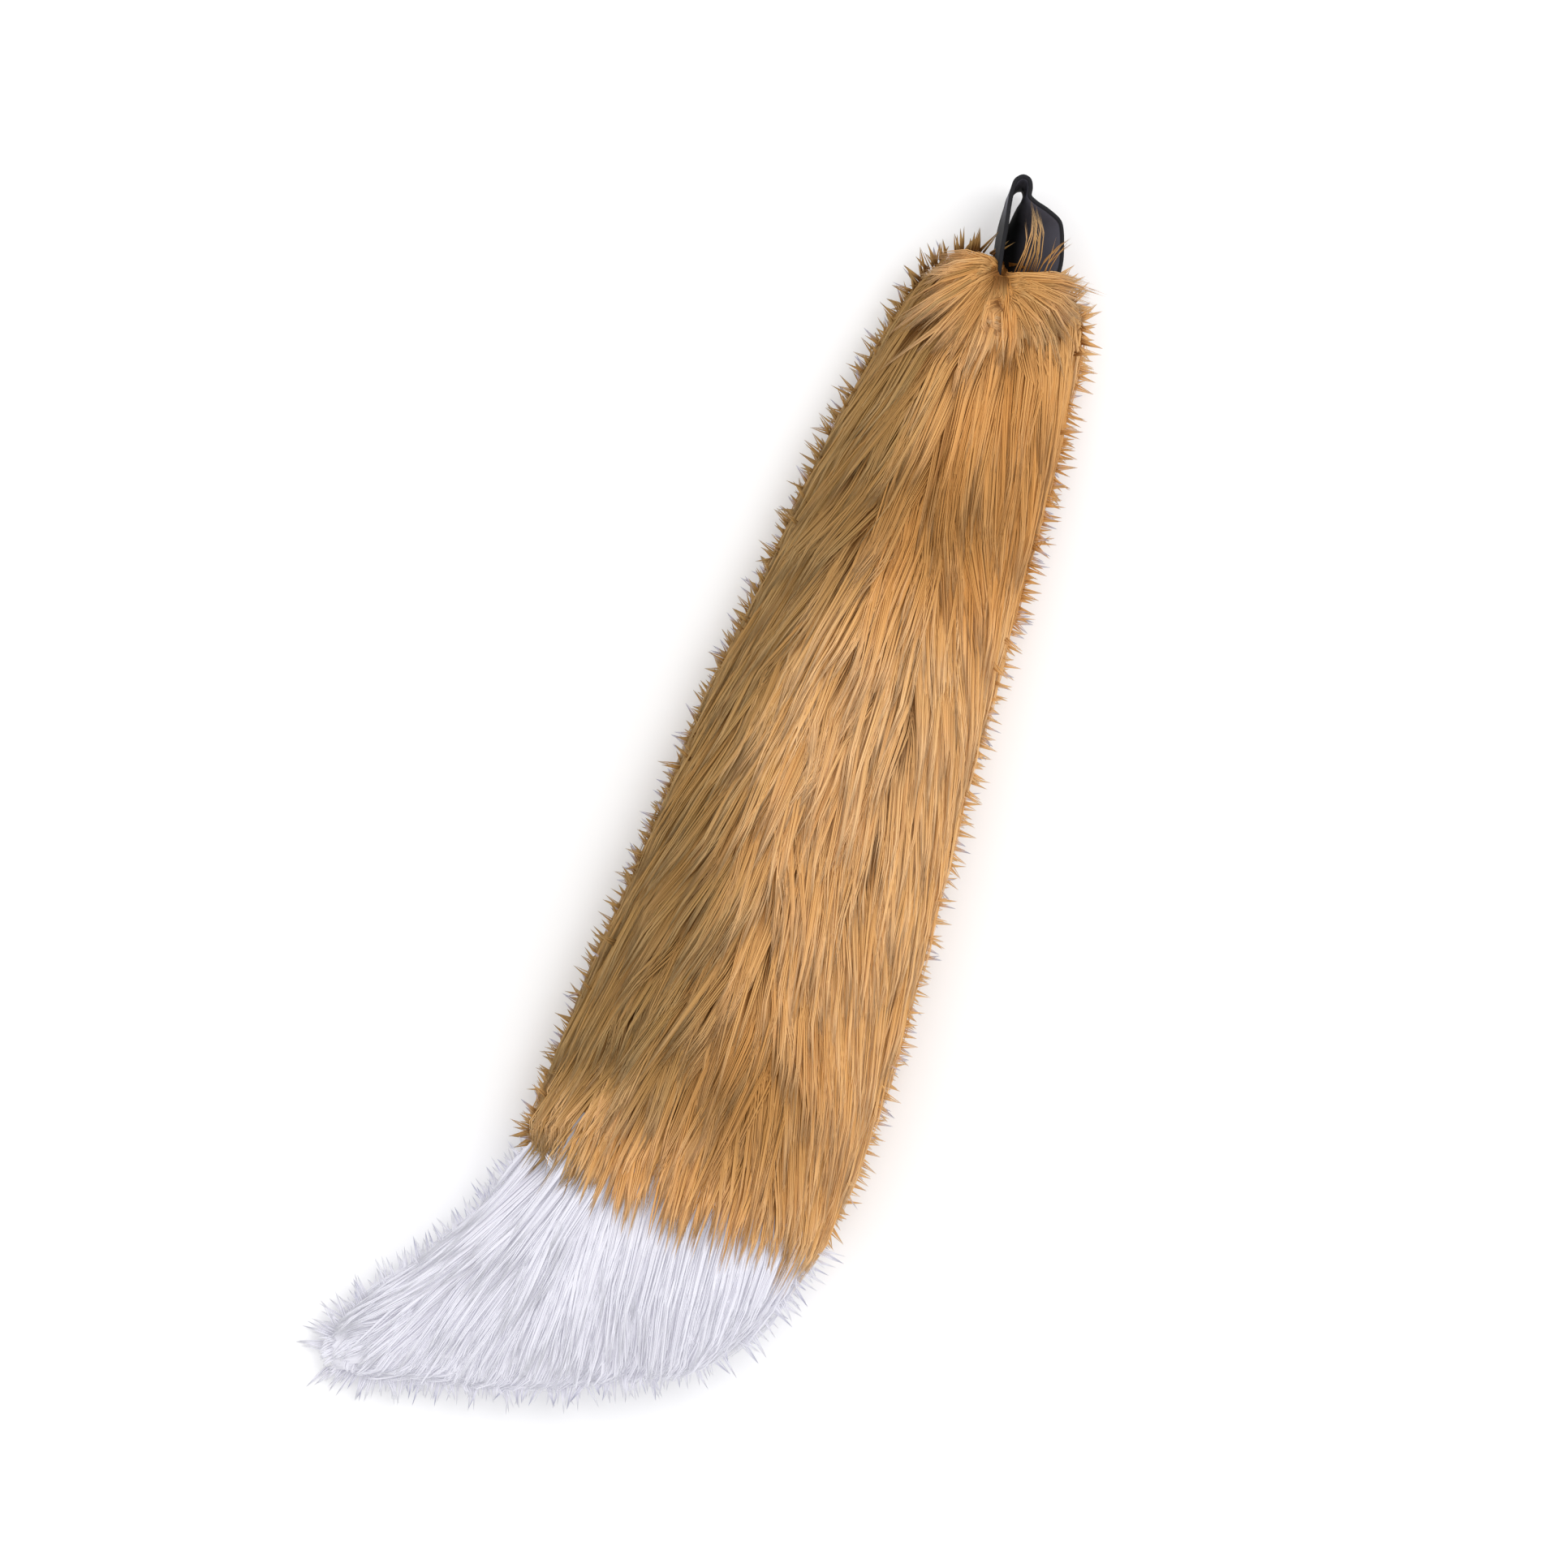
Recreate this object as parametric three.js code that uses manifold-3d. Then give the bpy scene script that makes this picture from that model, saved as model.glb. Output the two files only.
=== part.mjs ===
// A costume fox tail, lying on a table as it rests when it is taken off.
// A stuffed backing carries deep pile, tan for most of the length and white at the swept tip,
// and a folded strap of webbing sewn into the blunt end takes the wearer's belt.
// +Y runs along the straight part towards the belt loop, the tip swings towards -X, and +Z is up.
import * as THREE from "three";
import { ConvexGeometry } from "three/addons/geometries/ConvexGeometry.js";
import { mergeVertices } from "three/addons/utils/BufferGeometryUtils.js";
import Module from "manifold-3d";

const wasm = await Module();
wasm.setup();

// Driving dimensions, in millimetres.
const COAT_LENGTH = 529; // straight reach of the fur, from the blunt end to the tip
const TIP_SWEEP = 112; // how far the tip swings to the side
const COAT_HALF_WIDTH = 66.5; // half the fullest width, over the pile
const COAT_HALF_DEPTH = 43; // half the fullest depth, over the pile
const PILE_RISE = 8; // from the stuffed backing out to the face of the pile
const FLOOR_PRESS = 0.16; // share of the backing's half depth that the table presses flat
const BLUNT_ROUND = 20; // rounding of the sewn end, along the tail
const TAN_LENGTH = 394; // from the blunt end to the seam between the tan and the white

const LOCK_LENGTH = 54; // a lock of pile, from its root to its point
const LOCK_WIDTH = 28; // the same lock where it is widest
const LOCK_RISE = 12.5; // how far its point stands over the backing
const LOCK_ROOT = 4.5; // how far its two side edges are sunk in the backing
const LOCK_SPACING = 34; // from one row of locks to the next
const LOCK_LEAN = 20; // degrees by which the locks fan out to the sides
const LOCK_PART = -0.35; // where the fan parts, from -1 at the low X side to 1 at the other
const WHITE_START = 6; // from the seam to the roots of the first white locks

const STRAP_WIDTH = 38; // the webbing, edge to edge
const STRAP_THICKNESS = 1.8;
const LOOP_HEIGHT = 39.5; // from where the strap enters the pile to the crown of its loop
const LOOP_SEAT = 9; // from the blunt end's top to where the strap enters the pile
const LOOP_SPREAD = 24; // how far the loop's leaning layer stands out at its high edge
const LOOP_LOW_EDGE = 7; // height of the strap's low edge over the table

const CLEARANCE = 0.3; // between the sewn pieces
const RING_SIDES = 22; // points round a section of the backing
const RING_STEP = 22; // from one section of the backing to the next, about

// The middle line in plan. down is a share of COAT_LENGTH and across a share of TIP_SWEEP.
const MIDDLE_LINE = [
  { down: 0.0, across: -0.03 },
  { down: 0.2, across: -0.01 },
  { down: 0.41, across: 0.0 },
  { down: 0.66, across: -0.01 },
  { down: 0.754, across: 0.01 },
  { down: 0.812, across: 0.09 },
  { down: 0.841, across: 0.2 },
  { down: 0.887, across: 0.4 },
  { down: 0.92, across: 0.58 },
  { down: 0.95, across: 0.77 },
  { down: 1.0, across: 1.0 },
];

// Sections over the pile. along is a share of the middle line's length,
// wide a share of COAT_HALF_WIDTH and deep a share of COAT_HALF_DEPTH.
const SECTIONS = [
  { along: 0.0, wide: 0.5, deep: 0.66 },
  { along: 0.043, wide: 0.55, deep: 0.68 },
  { along: 0.07, wide: 0.575, deep: 0.7 },
  { along: 0.123, wide: 0.655, deep: 0.74 },
  { along: 0.177, wide: 0.715, deep: 0.79 },
  { along: 0.284, wide: 0.785, deep: 0.86 },
  { along: 0.391, wide: 0.875, deep: 0.94 },
  { along: 0.471, wide: 0.92, deep: 0.98 },
  { along: 0.605, wide: 1.0, deep: 1.0 },
  { along: 0.7125, wide: 0.995, deep: 1.0 },
  { along: 0.755, wide: 0.93, deep: 0.95 },
  { along: 0.79, wide: 0.8, deep: 0.87 },
  { along: 0.826, wide: 0.7, deep: 0.78 },
  { along: 0.862, wide: 0.58, deep: 0.68 },
  { along: 0.897, wide: 0.48, deep: 0.58 },
  { along: 0.932, wide: 0.365, deep: 0.46 },
  { along: 0.968, wide: 0.26, deep: 0.34 },
  { along: 1.0, wide: 0.12, deep: 0.18 },
];

// The webbing's route round the loop, at its low edge and at its high edge.
// x is a share of LOOP_SPREAD and y a share of LOOP_HEIGHT, from where the strap enters the pile.
const STRAP_ROUTE = [
  { lowX: -0.06, lowY: -0.5, highX: -0.02, highY: -0.36 },
  { lowX: -0.18, lowY: -0.1, highX: -0.095, highY: -0.1 },
  { lowX: -0.28, lowY: 0.22, highX: -0.2, highY: 0.2 },
  { lowX: -0.35, lowY: 0.46, highX: -0.265, highY: 0.44 },
  { lowX: -0.37, lowY: 0.68, highX: -0.33, highY: 0.66 },
  { lowX: -0.365, lowY: 0.82, highX: -0.355, highY: 0.82 },
  { lowX: -0.29, lowY: 0.9, highX: -0.335, highY: 0.905 },
  { lowX: -0.2, lowY: 0.91, highX: -0.265, highY: 0.955 },
  { lowX: -0.145, lowY: 0.86, highX: -0.185, highY: 0.95 },
  { lowX: -0.145, lowY: 0.8, highX: -0.125, highY: 0.88 },
  { lowX: -0.16, lowY: 0.73, highX: -0.06, highY: 0.8 },
  { lowX: -0.18, lowY: 0.65, highX: 0.05, highY: 0.75 },
  { lowX: -0.2, lowY: 0.56, highX: 0.3, highY: 0.71 },
  { lowX: -0.215, lowY: 0.44, highX: 0.56, highY: 0.635 },
  { lowX: -0.19, lowY: 0.3, highX: 0.7, highY: 0.49 },
  { lowX: -0.14, lowY: 0.16, highX: 0.82, highY: 0.29 },
  { lowX: -0.08, lowY: -0.04, highX: 0.85, highY: 0.07 },
  { lowX: 0.01, lowY: -0.26, highX: 0.76, highY: -0.13 },
  { lowX: 0.06, lowY: -0.5, highX: 0.6, highY: -0.26 },
];

const ROUNDNESS = 2.3; // power of the sections' outline: 2 is an ellipse, more is squarer
const LEAN_CHANGE = 0.5; // share by which the lean differs from lock to lock
const SMALLEST_LOCK = 0.35; // of the full size, at the narrow tip
const WELD = 0.001; // points closer than this are one

const middleLine = new THREE.CatmullRomCurve3(
  MIDDLE_LINE.map(
    ({ down, across }) =>
      new THREE.Vector3(-across * TIP_SWEEP, -down * COAT_LENGTH, 0),
  ),
);
const LINE_LENGTH = middleLine.getLength();
const UP = new THREE.Vector3(0, 0, 1);

// A table's column at a place along it, eased between its rows.
function columnAt(table, column, along) {
  const last = table.length - 1;
  const next = Math.max(
    1,
    table.findIndex((row, i) => row.along >= along || i === last),
  );
  const before = table[next - 1];
  const after = table[next];
  const share = THREE.MathUtils.clamp(
    (along - before.along) / (after.along - before.along),
    0,
    1,
  );
  return THREE.MathUtils.lerp(before[column], after[column], share);
}

// A steady value from 0 to 1 that differs from lock to lock.
function steadyChance(row, place, kind) {
  const mixed = Math.sin(row * 12.9898 + place * 78.233 + kind * 37.719) * 43758.5453;
  return mixed - Math.floor(mixed);
}

// The place on the backing that lies distance millimetres down the tail's surface from the middle
// of the blunt end, at an angle round the section: 0 is towards +X and 90 degrees is up.
// lift raises the place off the backing, along the section's outward direction.
// Past the end of the middle line the section shrinks away over the length of a lock.
function placeOn(distance, angle, lift) {
  const turn = THREE.MathUtils.clamp(distance / CAP_LENGTH, 0, 1) * (Math.PI / 2);
  const down = Math.max(0, distance - CAP_LENGTH) + BLUNT_ROUND * (1 - Math.cos(turn));
  const past = Math.max(0, down + CAP_START - LINE_LENGTH);
  const along = Math.min(1, (down + CAP_START) / LINE_LENGTH);
  const share = columnAt(SECTIONS, "wide", along);
  const wide = share * (COAT_HALF_WIDTH - PILE_RISE);
  const deep = columnAt(SECTIONS, "deep", along) * COAT_HALF_DEPTH - share * PILE_RISE;
  const closing = Math.sin(turn) ** 0.8 * Math.max(0.02, 1 - (2 * past) / LOCK_LENGTH);
  const forward = middleLine.getTangentAt(along);
  const side = new THREE.Vector3().crossVectors(UP, forward);
  const rounded = (value) => Math.sign(value) * Math.abs(value) ** (2 / ROUNDNESS);
  const outward = side
    .clone()
    .multiplyScalar(Math.cos(angle) * Math.sin(turn))
    .addScaledVector(UP, Math.sin(angle) * Math.sin(turn))
    .addScaledVector(forward, -Math.cos(turn))
    .normalize();
  return middleLine
    .getPointAt(along)
    .addScaledVector(forward, past)
    .addScaledVector(side, rounded(Math.cos(angle)) * wide * closing)
    .addScaledVector(UP, deep * (1 - FLOOR_PRESS) + rounded(Math.sin(angle)) * deep * closing)
    .addScaledVector(outward, lift);
}

// The rounded cap's length over its surface, and where it starts down the middle line.
const CAP_LENGTH = BLUNT_ROUND * 1.4;
const CAP_START = PILE_RISE * SECTIONS[0].wide;

// How far down the surface the backing ends.
const TIP_DISTANCE = LINE_LENGTH + CAP_LENGTH - BLUNT_ROUND - CAP_START;

// A closed geometry through rings of points, all with the same count, with a flat fan at each end.
function loft(rings) {
  const sides = rings[0].length;
  const points = rings.flat();
  const middleOf = (ring) =>
    ring
      .reduce((sum, point) => sum.add(point), new THREE.Vector3())
      .divideScalar(sides);
  points.push(middleOf(rings[0]), middleOf(rings[rings.length - 1]));
  const firstMiddle = points.length - 2;
  const lastMiddle = points.length - 1;
  const lastRing = (rings.length - 1) * sides;
  const faces = [];
  for (let i = 0; i < sides; i++) {
    const next = (i + 1) % sides;
    faces.push(firstMiddle, next, i, lastMiddle, lastRing + i, lastRing + next);
    for (let ring = 0; ring < lastRing; ring += sides) {
      faces.push(ring + i, ring + next, ring + sides + next);
      faces.push(ring + i, ring + sides + next, ring + sides + i);
    }
  }
  return new THREE.BufferGeometry().setFromPoints(points).setIndex(faces);
}

// A closed geometry as a solid that can be joined and cut.
function solidOf(geometry) {
  const plain = new THREE.BufferGeometry()
    .setAttribute("position", geometry.getAttribute("position"))
    .setIndex(geometry.index);
  const merged = mergeVertices(plain, WELD);
  const solid = new wasm.Manifold(
    new wasm.Mesh({
      numProp: 3,
      vertProperties: merged.getAttribute("position").array,
      triVerts: new Uint32Array(merged.index.array),
    }),
  );
  return solid;
}

function geometryOf(solid) {
  const mesh = solid.getMesh();
  return new THREE.BufferGeometry()
    .setAttribute("position", new THREE.BufferAttribute(mesh.vertProperties, 3))
    .setIndex(new THREE.BufferAttribute(mesh.triVerts, 1));
}

const joined = (solids) => solids.reduce((all, solid) => all.add(solid));

// The largest body of a cut solid, welded, without the crumbs and pockets that the cuts leave.
function largestBody(solid) {
  return solidOf(geometryOf(solid))
    .decompose()
    .reduce((most, body) => (body.volume() > most.volume() ? body : most));
}

// The whole stuffed backing, from the blunt end to the tip.
function backing() {
  const from = BLUNT_ROUND * 0.15;
  const count = Math.ceil((TIP_DISTANCE - from) / RING_STEP);
  const rings = Array.from({ length: count + 1 }, (_, ring) =>
    Array.from({ length: RING_SIDES }, (_, i) =>
      placeOn(
        THREE.MathUtils.lerp(from, TIP_DISTANCE, ring / count),
        (i / RING_SIDES) * 2 * Math.PI,
        0,
      ),
    ),
  );
  return solidOf(loft(rings));
}

// How far a lock leans to the side, in radians round the section for each millimetre of its length.
function leanAt(angle, chance) {
  const place = Math.cos(angle) - LOCK_PART;
  const lean = THREE.MathUtils.degToRad(LOCK_LEAN) * place;
  const uneven = 1 + (chance - 0.5) * 2 * LEAN_CHANGE;
  return (-lean * Math.sign(Math.sin(angle)) * uneven) / COAT_HALF_DEPTH;
}

// Widths and heights along a lock. at is a share of its length, wide of its half width
// and crest of LOCK_RISE.
const LOCK_SHAPE = [
  { at: 0.0, wide: 0.5, crest: 0.0 },
  { at: 0.4, wide: 1.0, crest: 0.62 },
  { at: 0.75, wide: 0.6, crest: 0.86 },
  { at: 1.0, wide: 0.06, crest: 1.0 },
];

// The rings of a lock of pile: a three-sided taper whose side edges stay sunk in the backing
// while its crest rises to a point.
function lockRings({ root, angle, size, lean }) {
  const length = LOCK_LENGTH * size;
  const around = COAT_HALF_DEPTH * size;
  return LOCK_SHAPE.map(({ at, wide, crest }) => {
    const distance = root + length * at;
    const middle = angle + lean * length * at;
    const halfAngle = ((LOCK_WIDTH / 2) * size * wide) / around;
    return [
      placeOn(distance, middle - halfAngle, -LOCK_ROOT * size),
      placeOn(distance, middle, LOCK_RISE * size * crest),
      placeOn(distance, middle + halfAngle, -LOCK_ROOT * size),
    ];
  });
}

const lock = (place) => solidOf(loft(lockRings(place)));

// The room that a lock takes in its neighbour: its hull, moved towards the four corners of a
// tetrahedron so that every side keeps at least CLEARANCE.
function roomFor(place) {
  const reach = CLEARANCE * Math.sqrt(3);
  const corners = [
    new THREE.Vector3(reach, reach, reach),
    new THREE.Vector3(-reach, -reach, reach),
    new THREE.Vector3(-reach, reach, -reach),
    new THREE.Vector3(reach, -reach, -reach),
  ];
  const points = lockRings(place)
    .flat()
    .flatMap((point) => corners.map((corner) => point.clone().add(corner)));
  return solidOf(new ConvexGeometry(points));
}

// The places of all the locks, in staggered rows. None grow where the tail lies on the table.
function lockPlaces() {
  const from = BLUNT_ROUND * 0.5;
  const rows = Math.round((TIP_DISTANCE - from) / LOCK_SPACING);
  const places = [];
  for (let row = 0; row < rows; row++) {
    const rowRoot = THREE.MathUtils.lerp(from, TIP_DISTANCE, (row + 0.2) / rows);
    const wide = columnAt(SECTIONS, "wide", Math.min(1, rowRoot / LINE_LENGTH));
    const rowSize = THREE.MathUtils.clamp(wide * 1.15, SMALLEST_LOCK, 1);
    const girth = Math.PI * (COAT_HALF_WIDTH + COAT_HALF_DEPTH) * wide;
    const around = Math.max(7, Math.round((girth / (LOCK_WIDTH * rowSize)) * 0.95));
    for (let i = 0; i < around; i++) {
      const chance = steadyChance(row, i, 1);
      const angle = ((i + (row % 2) / 2 + (chance - 0.5) * 0.5) / around) * 2 * Math.PI;
      if (Math.sin(angle) < -0.62) continue;
      const root = Math.max(from, rowRoot + (steadyChance(row, i, 2) - 0.5) * LOCK_SPACING * 0.5);
      places.push({
        root,
        angle,
        size: rowSize * (0.86 + 0.28 * steadyChance(row, i, 3)),
        lean: leanAt(angle, chance),
        y: placeOn(root, angle, 0).y,
      });
    }
  }
  return places;
}

// A section of the webbing: its four corners, grown all round by grow.
function strapRing(row, index, grow) {
  const edges = STRAP_ROUTE.map(({ lowX, lowY, highX, highY }) => {
    const low = new THREE.Vector3(lowX * LOOP_SPREAD, lowY * LOOP_HEIGHT - LOOP_SEAT, LOOP_LOW_EDGE);
    const high = new THREE.Vector3(highX * LOOP_SPREAD, highY * LOOP_HEIGHT - LOOP_SEAT, LOOP_LOW_EDGE);
    high.z += Math.sqrt(STRAP_WIDTH ** 2 - high.distanceToSquared(low));
    return { low, high };
  });
  const { low, high } = edges[index];
  const before = edges[Math.max(0, index - 1)];
  const after = edges[Math.min(edges.length - 1, index + 1)];
  const acrossWidth = high.clone().sub(low).normalize();
  const routeAt = (edge) => after[edge].clone().sub(before[edge]).normalize();
  const faceAt = (edge) =>
    routeAt(edge)
      .cross(acrossWidth)
      .normalize()
      .multiplyScalar(STRAP_THICKNESS / 2 + grow);
  const pastEnd = { 0: -grow, [edges.length - 1]: grow }[index] ?? 0;
  const lowFace = faceAt("low");
  const highFace = faceAt("high");
  const lowEnd = low.clone().addScaledVector(acrossWidth, -grow).addScaledVector(routeAt("low"), pastEnd);
  const highEnd = high.clone().addScaledVector(acrossWidth, grow).addScaledVector(routeAt("high"), pastEnd);
  return [
    lowEnd.clone().add(lowFace),
    lowEnd.clone().sub(lowFace),
    highEnd.clone().sub(highFace),
    highEnd.clone().add(highFace),
  ];
}

function strap(grow) {
  const rings = STRAP_ROUTE.map((row, index) => strapRing(row, index, grow));
  return solidOf(loft(rings));
}

// Everything under a level of one axis, as a block larger than the tail.
function blockUnder(axis, level) {
  const size = 4 * COAT_LENGTH;
  const middle = new THREE.Vector3();
  middle[axis] = level - size / 2;
  const block = new THREE.BoxGeometry(size, size, size).translate(middle.x, middle.y, middle.z);
  return solidOf(block);
}

// The tan locks that are rooted next to the seam reach past it and lie over the white.
const stuffing = backing();
const places = lockPlaces();
const isWhite = ({ y }) => y < -TAN_LENGTH - WHITE_START;
const isTan = (place) => !isWhite(place);
const reachesSeam = (place) => isTan(place) && place.y < -TAN_LENGTH + 1.2 * LOCK_LENGTH;

const tanCoat = joined([
  stuffing.subtract(blockUnder("y", -TAN_LENGTH)),
  ...places.filter(isTan).map(lock),
]);
const whiteCoat = joined([
  stuffing.intersect(blockUnder("y", -TAN_LENGTH - CLEARANCE)),
  ...places.filter(isWhite).map(lock),
]);
const roomForTan = joined(places.filter(reachesSeam).map(roomFor));

const table = blockUnder("z", 0);
const furBody = largestBody(tanCoat.subtract(strap(CLEARANCE)).subtract(table));
const furTip = largestBody(whiteCoat.subtract(roomForTan).subtract(table));

const finish = (color, roughness) =>
  new THREE.MeshStandardMaterial({ color, roughness, metalness: 0 });
const PIECES = [
  { name: "fur_body", geometry: geometryOf(furBody), material: finish(0xc8965a, 0.9) },
  { name: "fur_tip", geometry: geometryOf(furTip), material: finish(0xe4e2ec, 0.9) },
  { name: "belt_loop", geometry: geometryOf(strap(0)), material: finish(0x18171b, 0.8) },
];

const tail = new THREE.Group();
for (const { name, geometry, material } of PIECES) {
  const mesh = new THREE.Mesh(geometry, material);
  mesh.name = name;
  tail.add(mesh);
}

// The origin is on the table under the middle of the whole tail.
const middle = new THREE.Box3().setFromObject(tail).getCenter(new THREE.Vector3());
tail.position.set(-middle.x, -middle.y, 0);

export default tail;
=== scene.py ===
# %% [markdown]
# # A costume fox tail with a belt loop
#
# The tail lies on its side: a stuffed tube with long tan pile, a white swept tip, and a folded
# strap of webbing at the blunt end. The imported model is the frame. Its three solids give the size
# and the places, and this lesson dresses them with pile and woven cloth.

# %% Load the frame
import math
import bpy
import numpy as np
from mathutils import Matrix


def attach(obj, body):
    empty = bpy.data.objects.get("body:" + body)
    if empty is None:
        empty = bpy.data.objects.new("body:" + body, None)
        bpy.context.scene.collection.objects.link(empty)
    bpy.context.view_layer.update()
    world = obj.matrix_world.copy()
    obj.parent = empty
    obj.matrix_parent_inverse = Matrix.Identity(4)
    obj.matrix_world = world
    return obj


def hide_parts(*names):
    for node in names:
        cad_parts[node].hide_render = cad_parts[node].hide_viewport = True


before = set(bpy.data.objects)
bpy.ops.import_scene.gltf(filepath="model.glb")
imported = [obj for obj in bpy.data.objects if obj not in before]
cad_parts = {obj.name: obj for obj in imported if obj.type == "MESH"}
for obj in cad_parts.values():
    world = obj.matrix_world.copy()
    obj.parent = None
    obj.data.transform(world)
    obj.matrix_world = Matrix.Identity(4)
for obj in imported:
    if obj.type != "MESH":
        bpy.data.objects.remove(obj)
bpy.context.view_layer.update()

MM = 0.001
rng = np.random.default_rng(7)

# %% [markdown]
# ## Camera, floor and light
#
# The tail was photographed from straight above, turned by about 20 degrees, on a white ground.
# A long lens keeps the perspective weak. The floor and the world are almost white. Several lamps
# would light every side alike, so one large lamp on the side of the loop gives soft shade that
# still shows the locks.

# %% The camera looks straight down
VIEW_TURN = math.radians(19.7)
VIEW_MIDDLE = (7.6 * MM, 16.8 * MM)
VIEW_WIDTH = 637.6 * MM
VIEW_DISTANCE = 2.4
SEEN_HEIGHT = 35 * MM

camera = bpy.data.objects.new("camera", bpy.data.cameras.new("camera"))
bpy.context.scene.collection.objects.link(camera)
camera.location = (*VIEW_MIDDLE, SEEN_HEIGHT + VIEW_DISTANCE)
camera.rotation_euler = (0, 0, VIEW_TURN)
camera.data.sensor_width = 36
camera.data.lens = 36 * VIEW_DISTANCE / VIEW_WIDTH
bpy.context.scene.camera = camera
print(f"lens {camera.data.lens:.0f} mm")

# %% [markdown]
# ## A helper for materials
#
# A material in Blender is a tree of nodes joined by links. Written out node by node, even a short
# formula takes a page. A small class lets Python's own signs add the nodes, so a finish reads like
# the formula that it is.

# %% One class for shader maths
class Sock:
    """A node socket that adds Math nodes when it is used in a Python expression."""

    def __init__(self, tree, socket):
        self.tree, self.socket = tree, socket

    def node(self, kind, settings=(), values=(), output=0):
        """Add a node of any kind: its settings first, then the values or links of its sockets."""
        new = self.tree.nodes.new(kind)
        for key, value in dict(settings).items():
            setattr(new, key, value)
        for key, value in dict(values).items():
            if isinstance(value, Sock):
                self.tree.links.new(value.socket, new.inputs[key])
            else:
                new.inputs[key].default_value = value
        return Sock(self.tree, new.outputs[output])

    def math(self, operation, *values):
        """A Math node over the given values, which are numbers or sockets."""
        return self.node("ShaderNodeMath", {"operation": operation}, enumerate(values))

    def __add__(self, other):
        return self.math("ADD", self, other)

    def __mul__(self, other):
        return self.math("MULTIPLY", self, other)

    def __rsub__(self, other):
        return self.math("SUBTRACT", other, self)

    def ramp(self, low, high):
        """0 below low, 1 above high, and smooth between them."""
        values = {"Value": self, "From Min": low, "From Max": high}
        return self.node("ShaderNodeMapRange", {"interpolation_type": "SMOOTHSTEP"}, values)

    def tint(self, first, second):
        """first where this is 0 and the product of both colours where it is 1."""
        settings = {"data_type": "RGBA", "blend_type": "MULTIPLY"}
        return self.node("ShaderNodeMix", settings, {0: self, 6: first, 7: second}, 2)

    def mix(self, first, second):
        """first where this is 0 and second where it is 1, both colours."""
        return self.node("ShaderNodeMix", {"data_type": "RGBA"}, {0: self, 6: first, 7: second}, 2)


def colour(red, green, blue):
    """A colour as a screen shows it, from 0 to 255, turned into the light it stands for. A dark
    channel is divided by 12.92, and a lighter one is ((channel + 0.055) / 1.055) ** 2.4."""
    channels = np.array([red, green, blue]) / 255
    linear = np.where(channels < 0.04045, channels / 12.92, ((channels + 0.055) / 1.055) ** 2.4)
    return (*linear.tolist(), 1)


def new_material(name, **constants):
    """A material with one Principled shader. Returns it, a starting socket and the shader."""
    material = bpy.data.materials.new(name)
    material.use_nodes = True
    shader = material.node_tree.nodes["Principled BSDF"]
    for key, value in constants.items():
        shader.inputs[key.replace("_", " ")].default_value = value
    return material, Sock(material.node_tree, shader.outputs[0]), shader


# %% A pale floor and a soft lamp
FLOOR_SIZE, FLOOR_HEIGHT = 8, -0.5 * MM
WORLD_STRENGTH = 1.08
LAMP_PLACE, LAMP_SIZE, LAMP_POWER = (0.25, 0.55, 1.5), 0.9, 7


def plane(name, size, height):
    """A square sheet of the given size, level, at the given height."""
    half = size / 2
    square = [(-half, -half), (half, -half), (half, half), (-half, half)]
    mesh = bpy.data.meshes.new(name)
    mesh.from_pydata([(x, y, height) for x, y in square], [], [(0, 1, 2, 3)])
    sheet = bpy.data.objects.new(name, mesh)
    bpy.context.scene.collection.objects.link(sheet)
    return sheet


floor = plane("floor", FLOOR_SIZE, FLOOR_HEIGHT)
floor_paint, _, _ = new_material("pale_floor", Base_Color=(0.93, 0.93, 0.935, 1), Roughness=0.9)
floor.data.materials.append(floor_paint)

world = bpy.data.worlds.new("white_room")
world.use_nodes = True
world.node_tree.nodes["Background"].inputs["Color"].default_value = (1, 1, 1, 1)
world.node_tree.nodes["Background"].inputs["Strength"].default_value = WORLD_STRENGTH
bpy.context.scene.world = world
bpy.context.scene.view_settings.view_transform = "Standard"

lamp = bpy.data.objects.new("overhead_lamp", bpy.data.lights.new("overhead_lamp", "AREA"))
lamp.data.shape, lamp.data.size, lamp.data.energy = "DISK", LAMP_SIZE, LAMP_POWER
lamp.location = LAMP_PLACE
lamp.rotation_euler = (-lamp.location).to_track_quat("-Z", "Y").to_euler()
bpy.context.scene.collection.objects.link(lamp)
print(f"{lamp.name}: {LAMP_POWER} W at {LAMP_PLACE} m")

# %% [markdown]
# ## The stuffed tube under the pile
#
# Faux fur is a knitted backing that carries the pile, sewn into a tube and stuffed. Its shape could
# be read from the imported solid, but the hairs need to know more: which way is down the tail, and
# which way is round it. So the tube is worked out again from the same named sizes as a function of
# two numbers, the distance down the surface and the angle round the section.

# %% Sizes and tables of the tube
COAT_LENGTH = 529 * MM
TIP_SWEEP = 112 * MM
COAT_HALF_WIDTH = 66.5 * MM
COAT_HALF_DEPTH = 43 * MM
PILE_RISE = 8 * MM
FLOOR_PRESS = 0.16
BLUNT_ROUND = 20 * MM
TAN_LENGTH = 394 * MM
ROUNDNESS = 2.3
BLUNT_PLACE = np.array([22.54, 252.19, 0]) * MM

# Columns: down as a share of COAT_LENGTH, across as a share of TIP_SWEEP.
MIDDLE_LINE = np.array([
    (0.0, -0.03), (0.2, -0.01), (0.41, 0.0), (0.66, -0.01), (0.754, 0.01), (0.812, 0.09),
    (0.841, 0.2), (0.887, 0.405), (0.918, 0.59), (0.945, 0.78), (0.986, 1.01),
])

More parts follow.
